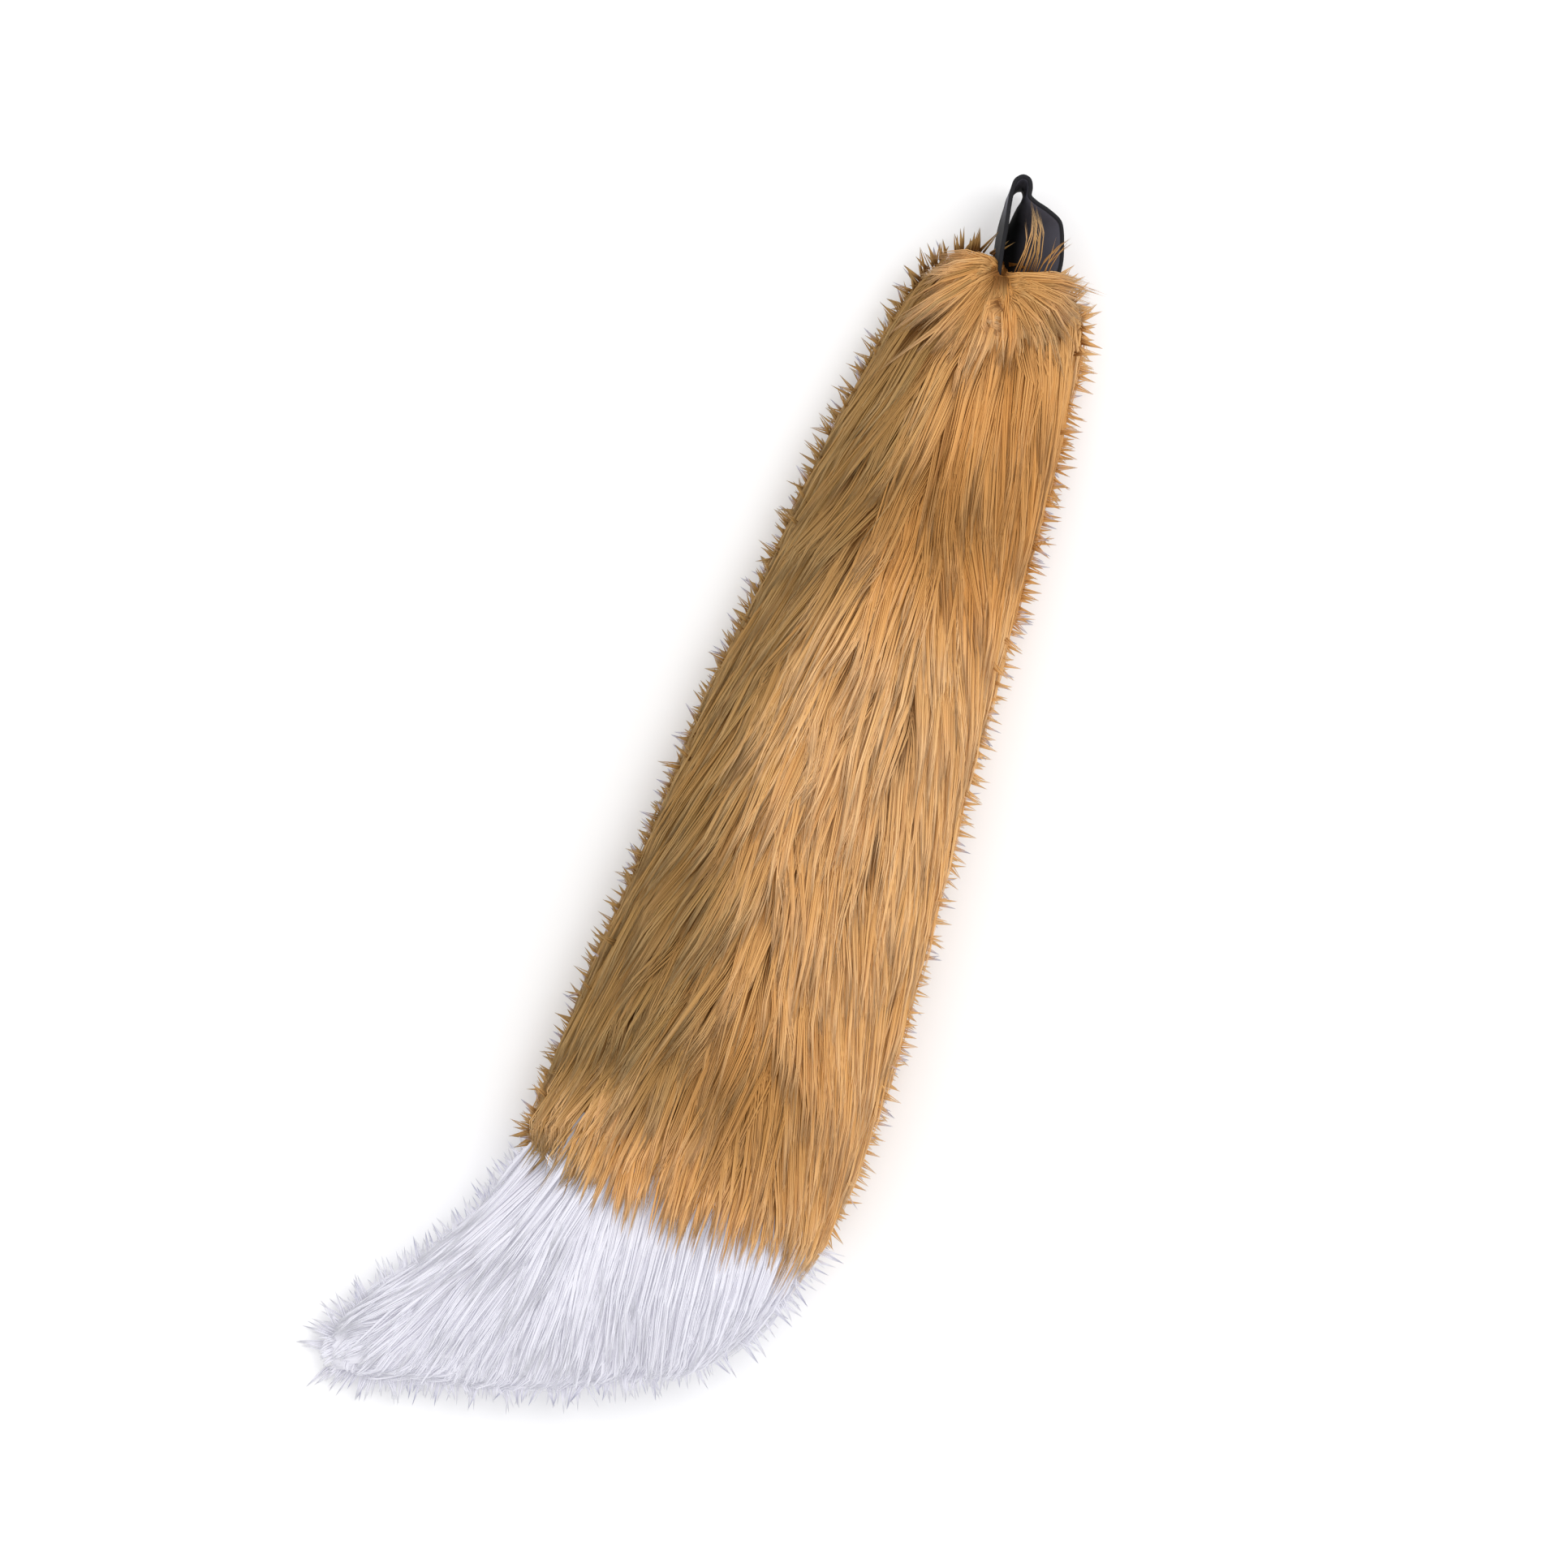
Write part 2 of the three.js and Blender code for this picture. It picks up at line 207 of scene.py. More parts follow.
# Columns: along the middle line, half width, half depth, as shares of the full sizes.
SECTIONS = np.array([
    (0.0, 0.5, 0.66), (0.043, 0.55, 0.68), (0.07, 0.575, 0.7), (0.123, 0.655, 0.74),
    (0.177, 0.715, 0.79), (0.284, 0.785, 0.86), (0.391, 0.875, 0.94), (0.471, 0.92, 0.98),
    (0.605, 1.0, 1.0), (0.7125, 0.995, 1.0), (0.755, 0.93, 0.95), (0.79, 0.8, 0.87),
    (0.826, 0.67, 0.78), (0.862, 0.53, 0.68), (0.897, 0.41, 0.55), (0.932, 0.3, 0.42),
    (0.968, 0.19, 0.3), (1.0, 0.06, 0.15),
])


# %% The middle line as a smooth curve
def smooth_line(points, count):
    """A cubic through the points. Between two of them it is the Hermite blend of both places and
    both slopes, and the slope at a point is that of the line between its neighbours."""
    chord = np.r_[0, np.cumsum(np.linalg.norm(np.diff(points, axis=0), axis=1))]
    slope = np.gradient(points, chord, axis=0)
    at = np.linspace(0, chord[-1], count)
    i = np.clip(np.searchsorted(chord, at, side="right") - 1, 0, len(chord) - 2)
    gap = (chord[i + 1] - chord[i])[:, None]
    t = (at - chord[i])[:, None] / gap
    start, end = points[i], points[i + 1]
    rise, fall = slope[i] * gap, slope[i + 1] * gap
    return (
        (2 * t**3 - 3 * t**2 + 1) * start + (t**3 - 2 * t**2 + t) * rise
        + (3 * t**2 - 2 * t**3) * end + (t**3 - t**2) * fall
    )


line_points = np.stack([-MIDDLE_LINE[:, 1] * TIP_SWEEP, -MIDDLE_LINE[:, 0] * COAT_LENGTH], 1)
middle_line = smooth_line(line_points, 800)
line_steps = np.linalg.norm(np.diff(middle_line, axis=0), axis=1)
line_reach = np.r_[0, np.cumsum(line_steps)]
LINE_LENGTH = line_reach[-1]
line_forward = np.gradient(middle_line, line_reach, axis=0)
line_forward /= np.linalg.norm(line_forward, axis=1)[:, None]
print(f"middle line {LINE_LENGTH / MM:.0f} mm")

CAP_LENGTH = BLUNT_ROUND * 1.4
TIP_ROUND = 20 * MM
CAP_START = PILE_RISE * SECTIONS[0, 1]
TIP_DISTANCE = LINE_LENGTH + CAP_LENGTH - BLUNT_ROUND - CAP_START


# %% The tube's surface
def skin(distance, angle):
    """The point on the tube that lies distance down its surface at an angle round the section.
    The section is a squared oval: across = cos(angle) ** (2 / ROUNDNESS) of the half width, and
    the same with the sine for the depth. At the blunt end it closes as a quarter turn."""
    turn = np.clip(distance / CAP_LENGTH, 0, 1) * (np.pi / 2)
    down = np.maximum(0, distance - CAP_LENGTH) + BLUNT_ROUND * (1 - np.cos(turn)) + CAP_START
    past = np.maximum(0, down - LINE_LENGTH)
    along = np.minimum(down, LINE_LENGTH)
    share = along / LINE_LENGTH
    wide = np.interp(share, SECTIONS[:, 0], SECTIONS[:, 1])
    deep = np.interp(share, SECTIONS[:, 0], SECTIONS[:, 2]) * COAT_HALF_DEPTH - wide * PILE_RISE
    half = wide * (COAT_HALF_WIDTH - PILE_RISE)
    closing = np.sin(turn) ** 0.8 * np.maximum(0.02, 1 - past / TIP_ROUND)
    x, y = (np.interp(along, line_reach, middle_line[:, k]) for k in (0, 1))
    fx, fy = (np.interp(along, line_reach, line_forward[:, k]) for k in (0, 1))
    cos, sin = np.cos(angle), np.sin(angle)
    across = np.sign(cos) * np.abs(cos) ** (2 / ROUNDNESS) * half * closing
    high = np.sign(sin) * np.abs(sin) ** (2 / ROUNDNESS) * deep * closing
    flat = np.stack([x + fx * past - fy * across, y + fy * past + fx * across], -1)
    return np.concatenate([flat, (deep * (1 - FLOOR_PRESS) + high)[..., None]], -1) + BLUNT_PLACE


def unit(vectors):
    """Vectors of length one, the same way round."""
    return vectors / np.maximum(np.linalg.norm(vectors, axis=-1, keepdims=True), 1e-9)


def skin_frame(distance, angle):
    """The surface's directions at a point: down the tail, round it, and outwards. The first two
    are differences between near points and the third is their cross product."""
    step, twist = 0.5 * MM, 0.01
    down = (skin(distance + step, angle) - skin(distance - step, angle)) / (2 * step)
    round_it = (skin(distance, angle + twist) - skin(distance, angle - twist)) / (2 * twist)
    return down, round_it, unit(np.cross(round_it, down))


# %% Meshes from arrays
def piece_from(name, points, triangles, maps=None):
    """One mesh object from an array of points and one of triangles. maps holds a pair of numbers
    for each point under each name, and goes into UV maps."""
    mesh = bpy.data.meshes.new(name)
    mesh.vertices.add(len(points))
    mesh.vertices.foreach_set("co", np.asarray(points, np.float32).ravel())
    mesh.loops.add(triangles.size)
    mesh.loops.foreach_set("vertex_index", triangles.ravel().astype(np.int32))
    mesh.polygons.add(len(triangles))
    mesh.polygons.foreach_set("loop_start", np.arange(0, triangles.size, 3, dtype=np.int32))
    mesh.update(calc_edges=True)
    mesh.shade_smooth()
    for map_name, pairs in (maps or {}).items():
        layer = mesh.uv_layers.new(name=map_name)
        layer.uv.foreach_set("vector", pairs[triangles.ravel()].astype(np.float32).ravel())
    piece = bpy.data.objects.new(name, mesh)
    bpy.context.scene.collection.objects.link(piece)
    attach(piece, "root")
    print(f"{name}: {len(triangles)} triangles")
    return piece


def grid_triangles(rows, columns):
    """The triangles of a grid whose columns close into a ring, with a point added for each end."""
    ring = np.arange(columns)
    after = (ring + 1) % columns
    start = (np.arange(rows - 1) * columns)[:, None]
    a, b, c, d = start + ring, start + after, start + columns + after, start + columns + ring
    sides = [np.stack(corners, -1).reshape(-1, 3) for corners in ((a, b, c), (a, c, d))]
    first, last = rows * columns, rows * columns + 1
    last_row = (rows - 1) * columns
    near = np.stack([np.full(columns, first), after, ring], -1)
    far = np.stack([np.full(columns, last), ring + last_row, after + last_row], -1)
    return np.concatenate([*sides, near, far])


# %% [markdown]
# ## The undercoat
#
# Between the roots of the long hairs the knitted backing and short dense fibres show as a darker
# ground, whose dark root colour is partly painted shade of the depth under the locks. A shell on
# the tube is enough for that, and it has the soft hollows that the locks leave.
# The tan shell stops at the seam and the white one starts there.

# %% Two shells of undercoat
DENT = np.array([2.0, -4.0]) * MM + BLUNT_PLACE[:2]
DENT_REACH = np.array([6.5, 9.0]) * MM
DENT_DEPTH = 24 * MM
FACE_START, FACE_FOOT, FACE_RISE = 12.5 * MM, -3 * MM, 1.6
ROOT_SHARE = 0.3


def dent_at(place):
    """How strongly the seam of the strap draws the surface in at a place: exp(-gap ** 4), with the
    gap in reaches. It does so only above the strap's leaning layer, whose face rises by FACE_RISE
    for each step across."""
    gap = (place[..., :2] - DENT) / DENT_REACH
    face = FACE_START + FACE_RISE * np.maximum(place[..., 0] - BLUNT_PLACE[0], FACE_FOOT)
    return np.exp(-((gap**2).sum(-1) ** 2)) * (place[..., 2] > face)


def undercoat(name, start, end, rows, columns):
    """The tube from start to end, raised by a low swell of crossing waves, sunk where the strap
    goes in, and pressed at z = 0."""
    distance = np.linspace(start, end, rows)[:, None]
    angle = np.linspace(0, 2 * np.pi, columns, endpoint=False)[None, :]
    grid = np.broadcast_arrays(distance, angle)
    points, outward = skin(*grid), skin_frame(*grid)[2]
    swell = np.sin(angle * 17 + distance * 90) * np.sin(distance * 260 + 3 * np.sin(angle * 5))
    points = points + outward * (0.6 + 0.9 * swell)[..., None] * MM
    points[..., 2] = np.maximum(points[..., 2] - DENT_DEPTH * dent_at(points), 0)
    ends = np.stack([points[0].mean(0), points[-1].mean(0)])
    # The shell takes the hairs' root colour, which is partly painted shade of the depth under the
    # locks.
    down = (distance - start) / (end - start) * ROOT_SHARE
    shares = np.stack(np.broadcast_arrays(angle / 6.3, down), -1)
    pairs = np.concatenate([shares.reshape(-1, 2), [[0.5, 0], [0.5, ROOT_SHARE]]])
    vertices = np.concatenate([points.reshape(-1, 3), ends])
    maps = {"strand": pairs, "lock": np.zeros_like(pairs), "patch": np.full_like(pairs, 0.5)}
    return piece_from(name, vertices, grid_triangles(rows, columns), maps)


SEAM = TAN_LENGTH + CAP_LENGTH - BLUNT_ROUND - CAP_START
SEAM_Y = BLUNT_PLACE[1] - TAN_LENGTH
tan_shell = undercoat("tan_undercoat", 0.5 * MM, SEAM - 0.5 * MM, 110, 64)
white_shell = undercoat("white_undercoat", SEAM + 0.5 * MM, TIP_DISTANCE - 3 * MM, 44, 56)
shells = [(tan_shell, "fur_body", "tan_pile"), (white_shell, "fur_tip", "white_pile")]
for shell, node, slot in shells:
    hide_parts(node)

# %% [markdown]
# ## Which way the pile lies
#
# Pile has a nap: it was brushed down the tail. Round the belt loop it fans out from the seam like
# the crown of a head, with a small whorl under it, then it runs down, leaning a little out to both
# sides and meandering in slow waves. In the white tip it hangs on towards the low edge while the
# tube swings away, and only turns with it at the point. A flow that is a function of place gives
# all of that, and the locks then follow it step by step.

# %% The nap as a function of place
CROWN_LOW = np.array([-4.0, -5.0, 7]) * MM + BLUNT_PLACE
CROWN_HIGH = np.array([-1.5, -13.0, 42]) * MM + BLUNT_PLACE
CROWN_REACH = 26 * MM
WHORL = np.array([2.0, -21.0]) * MM + BLUNT_PLACE[:2]
WHORL_REACH, WHORL_TURN, WHORL_FLOOR = 9 * MM, 1.6, 40 * MM
LEAN_LEFT, LEAN_RIGHT = math.radians(16), math.radians(18)
HANG = np.array([math.sin(VIEW_TURN), -math.cos(VIEW_TURN), 0])
HANG_START, HANG_FADE, POINT_REACH, POINT_HANG = 30 * MM, 60 * MM, 120 * MM, 0.25
CROWN_PULL = 1.6
WALK_STEPS = 5

# Columns: length of the wave in mm, the way it runs in degrees, its start, its turn of the nap.
WAVES = np.array([
    (74, 25, 0.5, 0.11), (47, 68, 2.1, 0.1), (29, -38, 4.0, 0.08), (18, 10, 1.2, 0.05),
])


def meander(place):
    """The turn of the nap in radians: a sum of sine waves that run over the plan in several ways,
    turn * sin(2 * pi * run / length + start)."""
    length, way, start, turn = WAVES.T[:, :, None]
    way = np.radians(way)
    run = place[:, 0] * np.cos(way) + place[:, 1] * np.sin(way)
    return (turn * np.sin(2 * np.pi * run / (length * MM) + start)).sum(0)


def nap(distance, angle, unrest):
    """The way the pile lies at a point, before it is laid on the surface. It turns from the middle
    line's way by a lean that grows to each side and by the meander. In the white it is blended with
    the hang, whose share falls to POINT_HANG at the point. Near the crown it is blended with the
    way that leads out from the strap's seam, by exp(-away ** 2 / CROWN_REACH ** 2)."""
    reach = np.clip(distance - CAP_LENGTH + BLUNT_ROUND + CAP_START, 0, LINE_LENGTH)
    way = np.stack([np.interp(reach, line_reach, line_forward[:, k]) for k in (0, 1)], -1)
    side = np.cos(angle)
    place = skin(distance, angle)
    lean = np.where(side < 0, LEAN_LEFT, LEAN_RIGHT) * np.clip(side * 1.6 + 0.12, -1, 1)
    from_whorl = ((place[:, :2] - WHORL) ** 2).sum(1) / WHORL_REACH**2
    whorl = WHORL_TURN * np.exp(-from_whorl) * (place[:, 2] > WHORL_FLOOR)
    lean = lean + unrest + meander(place) + whorl
    cos, sin = np.cos(lean), np.sin(lean)
    way = np.stack([way[:, 0] * cos - way[:, 1] * sin, way[:, 0] * sin + way[:, 1] * cos], -1)
    way = np.concatenate([way, np.zeros((len(way), 1))], 1)
    white = np.clip((reach - TAN_LENGTH + HANG_START) / HANG_FADE, 0, 1)
    point = np.clip((LINE_LENGTH - reach) / POINT_REACH, 0, 1)
    hang = white * (POINT_HANG + (1 - POINT_HANG) * point) * np.clip(0.75 + 0.35 * side, 0, 1)
    hang = hang[:, None]
    way = unit(way * (1 - hang) + HANG * hang)
    up = np.clip((place[:, 2:] - CROWN_LOW[2]) / (CROWN_HIGH[2] - CROWN_LOW[2]), 0, 1)
    away = place - (CROWN_LOW + (CROWN_HIGH - CROWN_LOW) * up)
    near = np.exp(-(away**2).sum(1) / CROWN_REACH**2)[:, None]
    return unit(way * (1 - near) + unit(away * [1, 1, 0.25]) * near * CROWN_PULL)


def follow(distance, angle, length, unrest):
    """Walk down the nap from each root. The way is split into a part down the surface and a part
    round it by least squares, and both numbers move on by one step of the length."""
    trail = [(distance, angle)]
    for _ in range(WALK_STEPS):
        down, round_it, _ = skin_frame(distance, angle)
        way = nap(distance, angle, unrest)
        dd, rr, dr = (down**2).sum(1), (round_it**2).sum(1), (down * round_it).sum(1)
        wd, wr = (way * down).sum(1), (way * round_it).sum(1)
        area = np.maximum(dd * rr - dr**2, 1e-9)
        step = length / WALK_STEPS
        move = np.clip((wd * rr - wr * dr) / area, -1.5, 1.5)
        twist = np.clip((wr * dd - wd * dr) / area * step, -0.5, 0.5)
        distance = np.clip(distance + move * step, 2 * MM, TIP_DISTANCE + 14 * MM)
        angle = angle + twist
        trail.append((distance, angle))
    return trail


# %% [markdown]
# ## Locks and hairs
#
# Long pile gathers into locks: the hairs start apart at the backing and their tips stick together.
# Blender's own hair can't be exported as a solid, so each hair is a thin three-sided spike of
# mesh. Many hairs share one lock, which walks down the nap, and each hair keeps its own distance
# from the lock's middle, wide at the root and narrow at the tip.

# %% Roots spread evenly over the surface
# Steps of a sequence that never bunches: 1 / p and 1 / p ** 2, where p ** 3 = p + 1.
EVEN_STEPS = 0.7548776662, 0.5698402910


def spread_roots(count, start, end, under=0.3):
    """Even places over the surface between two distances. A table of the area of small cells gives
    the running share of the area down the tail and round it, and a sequence that never bunches
    is looked up in both. under thins out the places beneath the tail."""
    distance = np.linspace(start, end, 160)
    angle = np.linspace(-np.pi, np.pi, 241)
    grid = np.broadcast_arrays(distance[:, None], angle[None, :])
    down, round_it, outward = skin_frame(*grid)
    area = np.linalg.norm(np.cross(down, round_it), axis=-1)
    area = area * np.where(outward[..., 2] < -0.55, under, 1)
    by_row = np.r_[0, np.cumsum(area.sum(1)[1:])]
    number = np.arange(count) + rng.random()
    first, second = (number * EVEN_STEPS[0]) % 1, (number * EVEN_STEPS[1]) % 1
    place = np.interp(first * by_row[-1], by_row, distance)
    row = np.clip(np.searchsorted(distance, place), 0, 159)
    by_angle = np.cumsum(area, axis=1)
    by_angle /= by_angle[:, -1:]
    column = (by_angle[row] < second[:, None]).sum(1)
    turn = angle[np.clip(column, 0, 240)] + (rng.random(count) - 0.5) * (angle[1] - angle[0])
    return place, turn


# %% [markdown]
# The pile isn't of one shade. A few soft patches and the place across the tail give each lock a
# lightness and a warmth. The lightness is painted light and shade: painted shade on the flank that
# lies away from the light, and painted highlights and painted shade in patches where the pile turns
# towards and away from the light. The warmth is the pile's own colour.

# %% Patches of painted light and shade, and of warmer pile
# Columns: across from the middle line in mm, down the tail in mm, reach in mm, lightness (painted
# light and shade), warmth.
PATCHES = np.array([
    (28, 66, 26, -0.3, 1.0), (28, 120, 40, -0.3, 0.9), (-21, 307, 30, -0.35, 0.0),
    (0, 126, 34, -0.4, 0.6), (18, 221, 62, 0.45, 0.0), (4, 62, 20, 0.4, 0.0),
    (24, 320, 36, 0.25, 0.1), (8, 368, 40, -0.65, 0.7), (-48, 408, 22, 0.9, 0.6),
    (-10, 418, 16, 0.6, 0.5), (26, 420, 16, 0.4, 0.5),
])


def patch_at(distance, angle):
    """Lightness, which is painted light and shade, and warmth from 0 to 1, with 0.5 as the middle. A
    patch adds its own amount times exp(-gap ** 2 / reach ** 2), and the flank at low X, which lies
    away from the light, takes lightness away as painted shade."""
    side = np.cos(angle)
    reach = np.clip(distance / TIP_DISTANCE, 0, 1)
    across = side * np.interp(reach, SECTIONS[:, 0], SECTIONS[:, 1]) * COAT_HALF_WIDTH / MM
    flank = np.clip(-side * 1.5 - 0.1, 0, 1)
    lightness, warmth = -1.0 * flank, -0.3 * flank
    for x, down, size, light, warm in PATCHES:
        near = np.exp(-((across - x) ** 2 + (distance / MM - down) ** 2) / size**2)
        lightness, warmth = lightness + near * light, warmth + near * warm
    return np.clip(0.5 + 0.5 * np.stack([lightness, warmth], -1), 0, 1)


# %% Hairs as tapered spikes
def spikes(paths, outward, width):
    """Closed three-sided spikes. paths holds the stations of each spike and its tip, outward the
    surface's way out there, and width the half width at each station. At a station the corners
    lie to the left, outwards and to the right, so the spike is a low ridge on its lock."""
    count, stations = paths.shape[0], paths.shape[1] - 1
    along = unit(paths[:, 1:] - paths[:, :-1])
    left = unit(np.cross(outward[:, :-1], along))
    base, half = paths[:, :-1], width[..., None]
    ridge = unit(np.cross(along, left)) * half * 0.9
    rings = np.stack([base + left * half, base + ridge, base - left * half], 2)
    vertices = np.concatenate([rings.reshape(count, -1, 3), paths[:, -1:]], 1)
    corner = np.arange(3)
    after = (corner + 1) % 3
    faces = [[(0, 2, 1)]]
    for station in range(stations - 1):
        low, high = 3 * station, 3 * station + 3
        faces.append(np.stack([low + corner, low + after, high + after], 1))
        faces.append(np.stack([low + corner, high + after, high + corner], 1))
    last = 3 * (stations - 1)
    faces.append(np.stack([last + corner, last + after, np.full(3, 3 * stations)], 1))
    one = np.concatenate(faces)
    size = 3 * stations + 1
    triangles = (one[None] + (np.arange(count) * size)[:, None, None]).reshape(-1, 3)
    return vertices.reshape(-1, 3), triangles


def hair_maps(stations, per_lock, own, grey, patch):
    """The pairs of numbers that a hair's points carry: its own shade, which for the locks' hairs is
    partly painted shade of the depth it lies at, and the way down it, its lock's chance and how grey
    its tip is, and the painted lightness and the warmth of the coat there."""
    corners = np.r_[np.repeat(np.arange(len(stations) - 1), 3), len(stations) - 1]
    size, locks = len(corners), len(grey)
    down = np.tile(stations[corners], locks * per_lock)
    shared = np.repeat(rng.random(locks), size * per_lock)
    return {
        "strand": np.stack([np.repeat(own, size), down], 1),
        "lock": np.stack([shared, np.repeat(grey, size * per_lock)], 1),
        "patch": np.repeat(patch[:, None, corners], per_lock, 1).reshape(-1, 2),
    }


# %% Hairs round the middle of each lock
STRANDS, PER_STRAND = 6, 6
PER_LOCK = STRANDS * PER_STRAND
HAIR_STATIONS = np.array([0.0, 0.35, 0.7, 1.0])
HAIR_TAPER = np.array([0.8, 1.0, 0.72])
HAIR_HALF = 0.28 * MM
STRAND_HALF = 1.5 * MM
STRAND_LIFT = 0.9 * MM
STRAND_BEND = 2.5
LOOSE_SHARE = 0.1


def lock_hairs(name, middle, outward, spread, patch, body=1.0):
    """Hairs round the middle lines of many locks, as one piece. A lock holds strands side by side.
    Each has its own lift and length, and a bend of STRAND_BEND - body in mm times at ** 2. Its
    hairs close up from root to tip as 1 - at ** 1.3. The middle of a strand stands higher than its
    sides by 1 - share ** 2. A strand that lies deeper and the low sides of a strand get painted
    shade on top of each hair's own random tone. Where body is less than 1, the strands are thinner
    and wilder."""
    locks = len(middle)
    strands, hairs = locks * STRANDS, locks * PER_LOCK
    at = HAIR_STATIONS
    aside = unit(np.cross(outward, np.gradient(middle, axis=1)))
    middle, outward, aside = (np.repeat(part, PER_LOCK, 0) for part in (middle, outward, aside))
    seat, bend, lift = rng.normal(size=(3, strands, 1))
    seat = np.tile(np.linspace(-0.83, 0.83, STRANDS), locks)[:, None] + 0.14 * seat
    reach = rng.uniform(0.7, 1.05, (strands, 1))
    seat, bend, lift, reach = (np.repeat(part, PER_STRAND, 0) for part in (seat, bend, lift, reach))
    own = rng.uniform(-1, 1, (hairs, 1))
    closing = np.where(rng.random((hairs, 1)) < LOOSE_SHARE, 1, 0.14 + 0.86 * (1 - at**1.3))
    shift = seat * np.repeat(spread, PER_LOCK)[:, None] * (1 - 0.35 * at)
    shift = shift + own * STRAND_HALF * body * closing + bend * (STRAND_BEND - body) * MM * at**2
    rise = lift * STRAND_LIFT * np.sin(2.8 * at) + (0.4 - own**2) * 0.9 * MM * closing
    paths = middle + aside * shift[..., None] + outward * rise[..., None]
    reach = reach * rng.uniform(0.92, 1.04, (hairs, 1))
    paths = paths[:, :1] + (paths - paths[:, :1]) * reach[..., None]
    paths[..., 2] = np.maximum(paths[..., 2], 0.25 * MM)
    halves = HAIR_HALF * body**0.4 * rng.uniform(0.7, 1.35, (hairs, 1)) * HAIR_TAPER
    vertices, triangles = spikes(paths, outward, halves)
    # The hair's shade: a random tone of its own, plus painted shade for hairs that lie deep, in a low
    # strand or at a strand's low side.
    shade = 0.34 + 0.2 * lift + 0.2 * (1 - own**2) + 0.3 * (rng.random((hairs, 1)) - 0.3)
    maps = hair_maps(HAIR_STATIONS, PER_LOCK, np.clip(shade[:, 0], 0, 1), np.zeros(locks), patch)
    piece = piece_from(name, vertices, triangles, maps)
    return piece


# %% Locks that lie on the surface
LOCK_SPREAD = 5.6 * MM
PILE_LIFT = 5.2 * MM


def coat(name, roots, length, stop):
    """One piece of pile. Each lock walks down the nap and rises over the backing as
    0.12 + 1.1 * sin(1.75 * at) ** 0.8 of the pile's lift, less where the tail is thin. stop is the
    most that each lock can reach."""
    distance, angle = roots
    locks = len(distance)
    thick = np.interp(distance / TIP_DISTANCE, SECTIONS[:, 0], SECTIONS[:, 1])[:, None] ** 0.6
    reach = np.minimum(length * rng.uniform(0.7, 1.15, locks), stop)
    trail = follow(distance, angle, reach, 0.08 * rng.normal(size=locks))
    places = np.stack([skin(d, a) for d, a in trail], 1)
    frames = np.stack([skin_frame(d, a)[2] for d, a in trail], 1)
    at = HAIR_STATIONS * WALK_STEPS
    low = np.minimum(at.astype(int), WALK_STEPS - 1)
    share = (at - low)[:, None]
    middle = places[:, low] * (1 - share) + places[:, low + 1] * share
    outward = unit(frames[:, low] * (1 - share) + frames[:, low + 1] * share)
    rise = PILE_LIFT * thick * (0.12 + 1.1 * np.sin(HAIR_STATIONS * 1.75) ** 0.8)
    middle = middle + outward * (rise * rng.normal(1, 0.13, (locks, 1)))[..., None]
    spread = LOCK_SPREAD * (0.4 + 0.6 * thick[:, 0])
    distances, angles = (np.stack(part, 1) for part in zip(*trail))
    down = distances[:, low] * (1 - share[:, 0]) + distances[:, low + 1] * share[:, 0]
    turn = angles[:, low] * (1 - share[:, 0]) + angles[:, low + 1] * share[:, 0]
    return lock_hairs(name, middle, outward, spread, patch_at(down, turn))


# %% The coats of both colours
# The locks spread over the tail, and more of them low on the blunt end, which the nap leaves bare.
LOCKS, END_LOCKS = 1320, 60
LOCK_LENGTH = 78 * MM
SEAM_FRINGE, FLANK_FRINGE = 28 * MM, 10 * MM
SHORTEST_TAN, SHORTEST_WHITE = 12 * MM, 10 * MM
distance, angle = spread_roots(LOCKS, 3 * MM, TIP_DISTANCE - 4 * MM)
distance = np.r_[distance, rng.uniform(2, 26, END_LOCKS) * MM]
angle = np.r_[angle, rng.uniform(-2.6, -0.1, END_LOCKS)]
outside = dent_at(skin(distance, angle)) < 0.06
distance, angle = distance[outside], angle[outside]
print(f"{len(distance)} locks")

# Tan locks stop a fringe's length past the seam, and white ones stop at the tip.
past_seam = skin(distance, angle)[:, 1] - SEAM_Y
low_flank = np.clip(-1.5 * np.cos(angle) - 0.4, 0, 1)
fringe = past_seam + SEAM_FRINGE + FLANK_FRINGE * low_flank + rng.normal(0, 4 * MM, len(distance))
stops = {
    "tan": np.maximum(fringe, SHORTEST_TAN),
    "white": np.maximum(TIP_DISTANCE - 2 * MM - distance, SHORTEST_WHITE),
}
order = np.argsort(distance)
on_tan = past_seam[order] > 1 * MM
coats = {"tan": [], "white": []}
for shade, chosen, part_count in [("tan", order[on_tan], 4), ("white", order[~on_tan], 2)]:
    for part, picked in enumerate(np.array_split(chosen, part_count)):
        roots, stop = (distance[picked], angle[picked]), stops[shade][picked]
        piece = coat(f"{shade}_coat_{part + 1}", roots, LOCK_LENGTH, stop)
        coats[shade].append(piece)

# %% [markdown]
# ## Tufts along the outline
#
# Seen against the light the coat's rim bristles: where the surface turns away, the ends of the
# locks stand out in short points, square to the edge or a little back towards the loop. The locks
# lie too flat to do that, so rows of small tufts on both flanks make the rim. Each tuft is a few
# hairs that start side by side and meet in one point.

# %% Rows of tufts on the flanks
TUFT_STATIONS = np.array([0.0, 0.45, 1.0])
PER_TUFT = 4
TUFT_WIDTH, TUFT_HAIR_HALF = 0.85 * MM, 0.4 * MM
TAN_TUFT, WHITE_TUFT = 9.5 * MM, 12 * MM
BACK_LOW, BACK_HIGH, BACK_SPREAD = 22, -4, 17
TURN_START, TURN_SPAN, TIP_SLANT = 26 * MM, 30 * MM, 1.3
GREY_SHARE = 0.22


